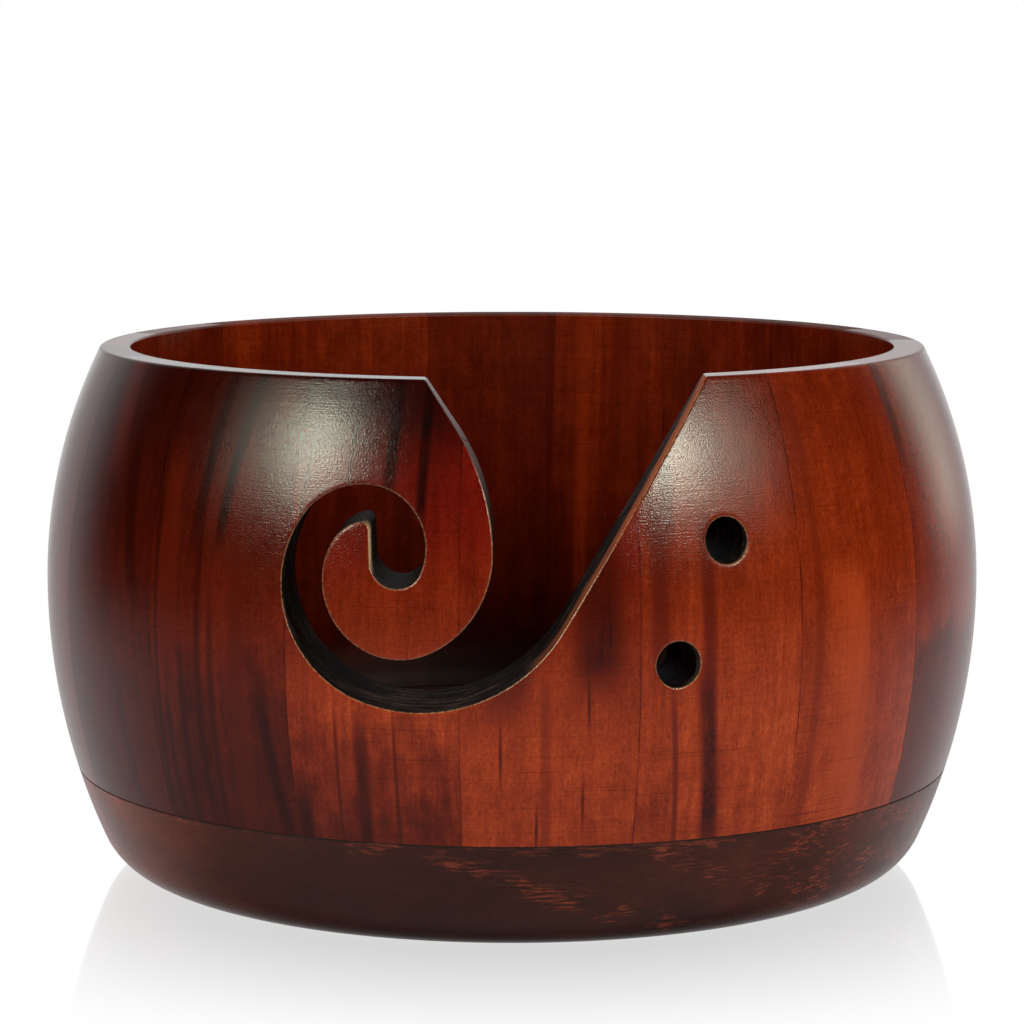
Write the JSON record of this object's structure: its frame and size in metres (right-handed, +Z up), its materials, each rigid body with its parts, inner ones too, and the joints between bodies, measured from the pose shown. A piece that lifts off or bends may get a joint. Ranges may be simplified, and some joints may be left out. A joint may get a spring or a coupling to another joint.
{
  "type": "yarn bowl",
  "caption": "Round wooden yarn bowl of glued upright staves on a board base, with a wide mouth, a curled yarn slot and drilled side holes.",
  "frame": {"origin": "centre of the flat underside", "axes": "+Z up along the bowl's axis, -Y towards the side with the yarn slot, +X to the right of someone facing the slot"},
  "size_m": [0.178, 0.1779, 0.1],
  "materials": {
    "wall_wood": "gloss lacquer over red-brown hardwood, grain upright",
    "base_wood": "gloss lacquer over very dark brown hardwood, grain level"
  },
  "bodies": {
    "root": {"base_board_front": "base_wood", "base_board_middle": "base_wood", "base_board_back": "base_wood", "stave_01_lower": "wall_wood", "stave_01_hook": "wall_wood", "stave_02": "wall_wood", "stave_03": "wall_wood", "stave_04": "wall_wood", "stave_05": "wall_wood", "stave_06": "wall_wood", "stave_07": "wall_wood", "stave_08": "wall_wood", "stave_09": "wall_wood", "stave_10": "wall_wood", "stave_11": "wall_wood", "stave_12": "wall_wood", "stave_13": "wall_wood", "stave_14": "wall_wood", "stave_15": "wall_wood", "stave_16": "wall_wood", "stave_17": "wall_wood", "stave_18_lower": "wall_wood", "stave_18_hook": "wall_wood"}
  },
  "joints": []
}
